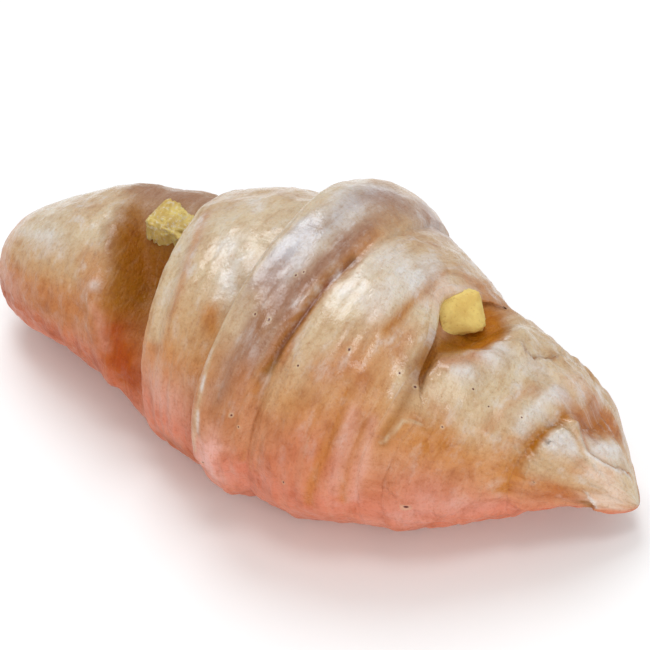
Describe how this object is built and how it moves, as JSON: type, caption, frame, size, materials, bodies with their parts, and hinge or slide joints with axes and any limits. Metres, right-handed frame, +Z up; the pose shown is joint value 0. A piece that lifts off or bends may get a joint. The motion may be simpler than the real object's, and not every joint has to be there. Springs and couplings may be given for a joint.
{
  "type": "filled croissant",
  "caption": "Glazed croissant of rolled dough in overlapping wraps, with a yellow filling that shows in a pocket on each side of the middle band.",
  "frame": {"origin": "under the middle of the croissant, on the surface that it rests on", "axes": "+X along the roll toward the pointed end, -Y toward the front, +Z up"},
  "size_m": [0.1424, 0.075, 0.0516],
  "materials": {
    "crust": "glossy",
    "filling": "matte"
  },
  "bodies": {
    "root": {"dough": "crust", "filling": "filling"}
  },
  "joints": []
}
